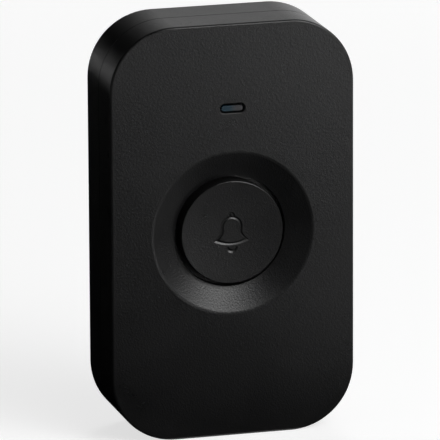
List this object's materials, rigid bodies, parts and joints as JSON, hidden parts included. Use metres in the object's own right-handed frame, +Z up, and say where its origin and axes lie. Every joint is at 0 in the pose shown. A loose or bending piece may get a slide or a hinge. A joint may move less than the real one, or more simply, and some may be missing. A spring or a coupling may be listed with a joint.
{
  "type": "wireless doorbell push button",
  "caption": "Flat case for the wall with a round sprung bell button in a dish, a light window, and a coin-cell radio transmitter inside.",
  "frame": {"origin": "middle of the flat rear face that goes on the wall", "axes": "+Z up; +Y into the wall, so the button faces -Y; +X to the right seen from the front"},
  "size_m": [0.048, 0.0175, 0.081],
  "materials": {
    "cover_plastic": "black ABS with a fine spark-eroded grain",
    "button_plastic": "black ABS, finer grain than the covers",
    "seal_rubber": "grey silicone rubber",
    "inner_plastic": "plain black moulded plastic",
    "lens_plastic": "clear plastic, slightly grey",
    "board_laminate": "glass-fibre laminate under green solder mask",
    "screw_steel": "zinc-plated steel",
    "switch_plastic": "black moulded plastic",
    "stamped_steel": "stamped steel sheet",
    "plunger_plastic": "smooth black plastic",
    "dome_steel": "thin spring steel",
    "tinned_metal": "tin plate",
    "led_plastic": "white package with a clear top",
    "cell_can": "nickel-plated steel",
    "contact_bronze": "plated phosphor bronze",
    "chip_plastic": "black moulding compound",
    "resonator_can": "nickel-plated can",
    "copper_track": "bare copper",
    "capacitor_ceramic": "fired ceramic",
    "resistor_ceramic": "glazed black ceramic"
  },
  "bodies": {
    "rear_unit": {"rear_cover": "cover_plastic", "housing_gasket": "seal_rubber"},
    "front_unit": {"front_cover": "cover_plastic", "button_seal": "seal_rubber", "seal_clamp_ring": "inner_plastic", "led_lens": "lens_plastic", "circuit_board": "board_laminate", "board_screws": "screw_steel", "switch_body": "switch_plastic", "switch_frame": "stamped_steel", "switch_dome": "dome_steel", "switch_terminals": "tinned_metal", "led_body": "led_plastic", "led_contacts": "tinned_metal", "coin_cell": "cell_can", "battery_holder": "inner_plastic", "battery_clip": "stamped_steel", "battery_contact": "contact_bronze", "encoder_chip": "chip_plastic", "encoder_leads": "tinned_metal", "saw_resonator": "resonator_can", "rf_transistor": "chip_plastic", "transistor_leads": "tinned_metal", "loop_antenna": "copper_track", "chip_capacitors": "capacitor_ceramic", "chip_resistors": "resistor_ceramic", "chip_end_caps": "tinned_metal"},
    "button": {"button_cap": "button_plastic"},
    "plunger": {"switch_plunger": "plunger_plastic"}
  },
  "joints": [
    {"name": "front_release", "type": "slide", "parent": "rear_unit", "child": "front_unit", "axis": [0, -1, 0], "range_m": [0, 0.02]},
    {"name": "button_press", "type": "slide", "parent": "front_unit", "child": "button", "axis": [0, 1, 0], "range_m": [0, 0.0006], "stiffness_N_per_m": 2500, "springref_m": -0.0004, "deforming": ["button_seal", "switch_dome"]},
    {"name": "switch_press", "type": "slide", "parent": "front_unit", "child": "plunger", "axis": [0, 1, 0], "range_m": [0, 0.00025]}
  ],
  "couplings": [
    {"joint": "switch_press", "follows": "button_press", "ratio": 0.4166}
  ]
}
